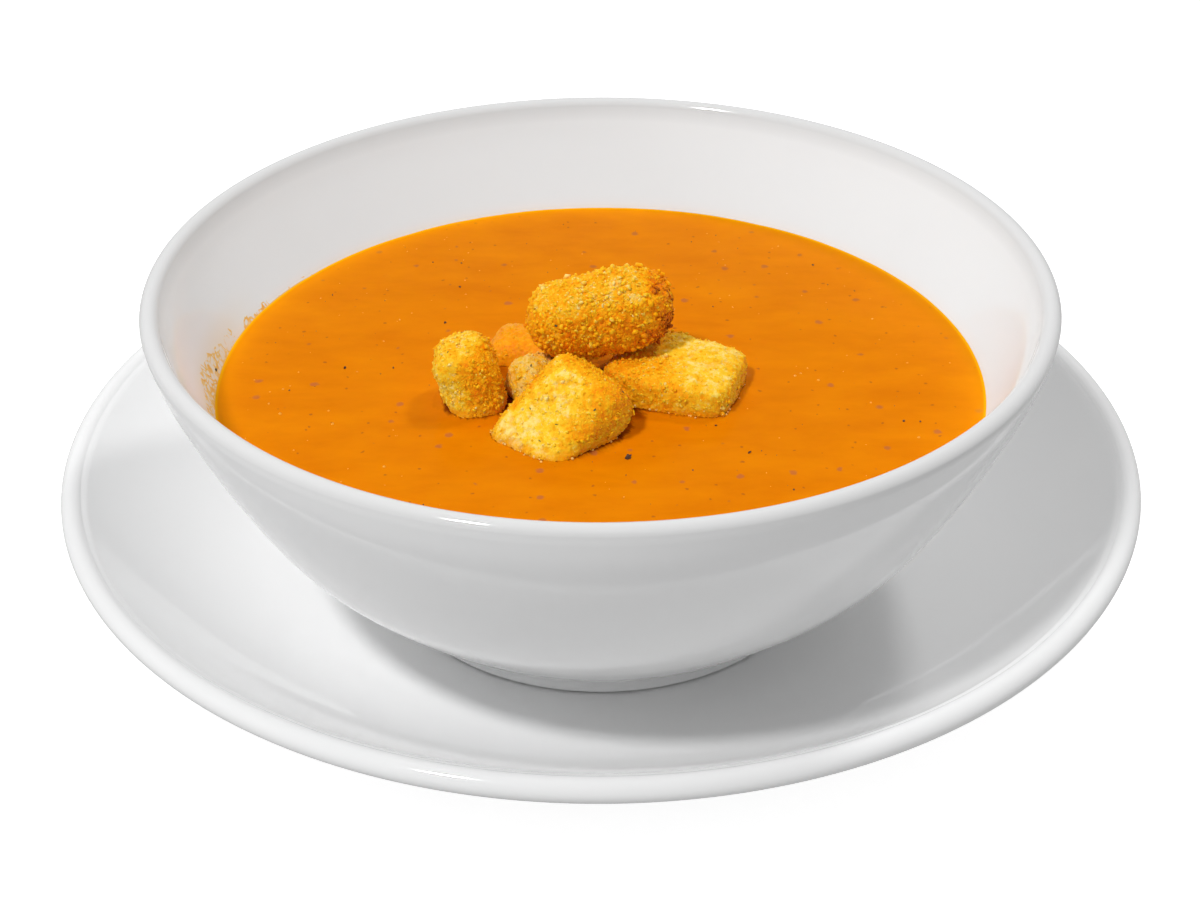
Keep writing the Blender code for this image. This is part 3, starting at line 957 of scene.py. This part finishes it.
def smear_film(wall, up, along):
    """How thick the film is, from 0 to 1: a lace that breaks up into spots towards the back."""
    warped = wall + 0.0007 * np.stack([soft_noise(wall, 0.0016, 90 + k) for k in range(3)], 1)
    near, second, _ = cells(warped, LACE_SIZE, 14)
    lace = 1 - smooth_step(second - near, 0.06, 0.42)
    patch = rough_noise(wall, 0.006, 21)
    ends = smooth_step(along, 0.0, 0.12) * (1 - smooth_step(along, 0.93, 1.0))
    top = SMEAR_HEIGHT * (0.72 + 0.5 * patch) * ends * (0.55 + 0.6 * smooth_step(along, 0.30, 0.65))
    fade = 1 - smooth_step(up, top * 0.75, top)
    spots = smooth_step(rough_noise(wall, 0.0032, 61), 0.0, 0.3)
    whole = spots + (1 - spots) * smooth_step(along, 0.35, 0.65)
    waterline = (1 - smooth_step(up, 0.0, 0.0007)) * ends
    return np.maximum(lace * fade * whole * (0.62 + 0.5 * rough_noise(wall, 0.0011, 33)), waterline)


def make_smear(look):
    """The lacy film that sloshed soup left on the left-hand wall, just over the waterline."""
    wall, normals, up, along, (rows, columns) = smear_grid()
    film = smear_film(wall, up, along)
    depth = SMEAR_THICKNESS * film - SMEAR_BED
    verts = wall + normals * depth[:, None]
    row, column = np.meshgrid(np.arange(rows - 1), np.arange(columns - 1), indexing="ij")
    corner = (row * columns + column).ravel()
    quads = np.stack([corner, corner + 1, corner + columns + 1, corner + columns], 1)
    quads = quads[(depth[quads] > -0.00001).any(1)]
    used, renamed = np.unique(quads, return_inverse=True)
    piece("soup_smear", verts[used], renamed.reshape(-1, 4), look, "soup", film=film[used])


def speck_look(name, light, dark, size, **sockets):
    look = Look(name, **sockets)
    look.set("Base Color", look.mix(look.noise(size, detail=3), dark, light))
    return look


def smear_look():
    look = Look("soup_film", Roughness=0.2, IOR=1.36)
    film = look.attribute("film")
    look.set("Base Color", look.ramp(film, (0.0, (0.86, 0.80, 0.72)), (0.25, (0.88, 0.70, 0.44)),
                                     (0.55, (0.87, 0.54, 0.15)), (0.95, (0.90, 0.38, 0.02))))
    return look


# ---------------------------------------------------------------- camera, floor and light
CAMERA_DISTANCE = 4.7 * BOWL_RADIUS
CAMERA_DOWN = 32.49                     # degrees below the horizon
CAMERA_ROLL = -0.22                     # degrees
CAMERA_TARGET = (-0.0018 * BOWL_RADIUS, BOWL_AXIS[1], BOWL_FOOT + BOWL_HEIGHT - 0.4656 * BOWL_RADIUS)
LENS, SENSOR = 60.64, 36                # millimetres


def make_camera():
    """Looks at the bowl from the front and above, as the object was pictured."""
    down, roll = math.radians(CAMERA_DOWN), math.radians(CAMERA_ROLL)
    forward = Vector((0, math.cos(down), -math.sin(down)))
    up = Vector((0, math.sin(down), math.cos(down)))
    side = Vector((1, 0, 0))
    side, up = side * math.cos(roll) + up * math.sin(roll), up * math.cos(roll) - side * math.sin(roll)
    lens = bpy.data.cameras.new("camera")
    lens.sensor_width = SENSOR
    lens.lens = LENS
    camera = bpy.data.objects.new("camera", lens)
    bpy.context.scene.collection.objects.link(camera)
    place = Matrix((side, up, -forward)).transposed().to_4x4()
    place.translation = Vector(CAMERA_TARGET) - forward * CAMERA_DISTANCE
    camera.matrix_world = place
    bpy.context.scene.camera = camera


FLOOR_GLOW = (0.08, 0.85)               # the floor's own light on the object, and as the camera sees it
ROOM_GLOW = (0.84, 0.22)                # the pale room, and its dim patch high on the camera's side
ROOM_IN_GLOSS = 0.6                     # how much of it the glaze and the soup mirror
ROOM_DIM = (285, 70)                    # azimuth and elevation of that patch
ROOM_DIM_EDGE = (0.2, 0.85)             # cosines of the angles from it where it ends and where it is darkest
FLOOR_HALF = 4.0

# name: azimuth and elevation it shines from, how wide it looks in degrees, how strong it is, and whether
# the gloss mirrors it
LAMPS = {
    "key": (230, 57, 6.5, 1.84, True),
    "back": (36, 60, 7.0, 0.70, False),
}
LAMP_DISTANCE = 1.5


def make_floor():
    look = Look("pale_floor", Roughness=0.6)
    look.set("Base Color", look.mix(look.noise(0.4, detail=3), (0.44, 0.44, 0.44), (0.46, 0.46, 0.46)))
    look.shader.inputs["Emission Color"].default_value = (1, 1, 1, 1)
    seen = look.node("ShaderNodeLightPath").outputs["Is Camera Ray"]
    look.set("Emission Strength", look.span(seen, 0, 1, *FLOOR_GLOW))
    mesh = bpy.data.meshes.new("floor")
    corners = [(x * FLOOR_HALF, y * FLOOR_HALF, 0) for x, y in ((-1, -1), (1, -1), (1, 1), (-1, 1))]
    mesh.from_pydata(corners, [], [(0, 1, 2, 3)])
    mesh.materials.append(look.material)
    floor = bpy.data.objects.new("floor", mesh)
    bpy.context.scene.collection.objects.link(floor)


def towards(azimuth, elevation):
    around, up = math.radians(azimuth), math.radians(elevation)
    return Vector((math.cos(around) * math.cos(up), math.sin(around) * math.cos(up), math.sin(up)))


def make_room():
    """A pale room, dimmer high on the camera's side."""
    world = bpy.data.worlds.new("studio")
    world.use_nodes = True
    bpy.context.scene.world = world
    nodes = Nodes(world.node_tree)
    turn = nodes.node("ShaderNodeVectorMath", {"operation": "DOT_PRODUCT"})
    nodes.feed(turn.inputs[0], nodes.node("ShaderNodeTexCoord").outputs["Generated"])
    turn.inputs[1].default_value = towards(*ROOM_DIM)
    room = nodes.span(turn.outputs["Value"], *ROOM_DIM_EDGE, *ROOM_GLOW)
    path = nodes.node("ShaderNodeLightPath").outputs
    room = nodes.maths("MULTIPLY", room, nodes.span(path["Is Glossy Ray"], 0, 1, 1, ROOM_IN_GLOSS))
    background = nodes.tree.nodes["Background"].inputs
    background["Color"].default_value = (1, 1, 1, 1)
    nodes.feed(background["Strength"], nodes.maths("MAXIMUM", room, path["Is Camera Ray"]))


def make_light():
    for name, (azimuth, elevation, spread, strength, glossy) in LAMPS.items():
        light = bpy.data.lights.new(name, "AREA")
        light.shape = "DISK"
        half = math.radians(spread / 2)
        light.size = 2 * LAMP_DISTANCE * math.tan(half)
        brightness = strength / (math.pi * half ** 2)
        light.energy = brightness * math.pi * math.pi * (light.size / 2) ** 2
        lamp = bpy.data.objects.new(name, light)
        lamp.location = LAMP_DISTANCE * towards(azimuth, elevation)
        lamp.rotation_mode = "QUATERNION"
        lamp.rotation_quaternion = (-lamp.location).to_track_quat("-Z", "Y")
        lamp.visible_glossy = glossy
        bpy.context.scene.collection.objects.link(lamp)


# ---------------------------------------------------------------- putting it together
def main():
    china = china_look()
    make_plate(china)
    make_bowl(china)
    toast = toast_look("toasted_bread")
    skins = {name: make_crouton(name, toast) for name in TOASTS}
    trees = [BVHTree.FromPolygons(skin["verts"].tolist(), skin["quads"].tolist()) for skin in skins.values()]
    make_soup(soup_look(), trees)
    pepper = speck_look("black_pepper", (0.12, 0.045, 0.015), (0.020, 0.009, 0.005), 0.0003, Roughness=0.5)
    make_pepper(trees, pepper)
    pulp = speck_look("pale_pulp", (0.96, 0.46, 0.03), (0.90, 0.32, 0.006), 0.0006, Roughness=0.3)
    make_pulp(trees, pulp)
    # pale beads at the waterlines stand in for glints: painted highlights
    bubble = speck_look("shore_bubble", (1.0, 0.70, 0.26), (0.96, 0.45, 0.03), 0.0006, Roughness=0.06)
    make_beads(skins, bubble)
    herb = speck_look("dried_herbs", (0.16, 0.13, 0.03), (0.035, 0.040, 0.010), 0.0003, Roughness=0.7)
    make_herbs(skins, herb)
    make_smear(smear_look())
    crumb = toast_look("toast_crumbs")
    for name in CRUMBS:
        make_crumbs(name, skins[name], crumb)
    make_floor()
    make_room()
    make_light()
    make_camera()
    bpy.context.scene.view_settings.view_transform = "Standard"


main()
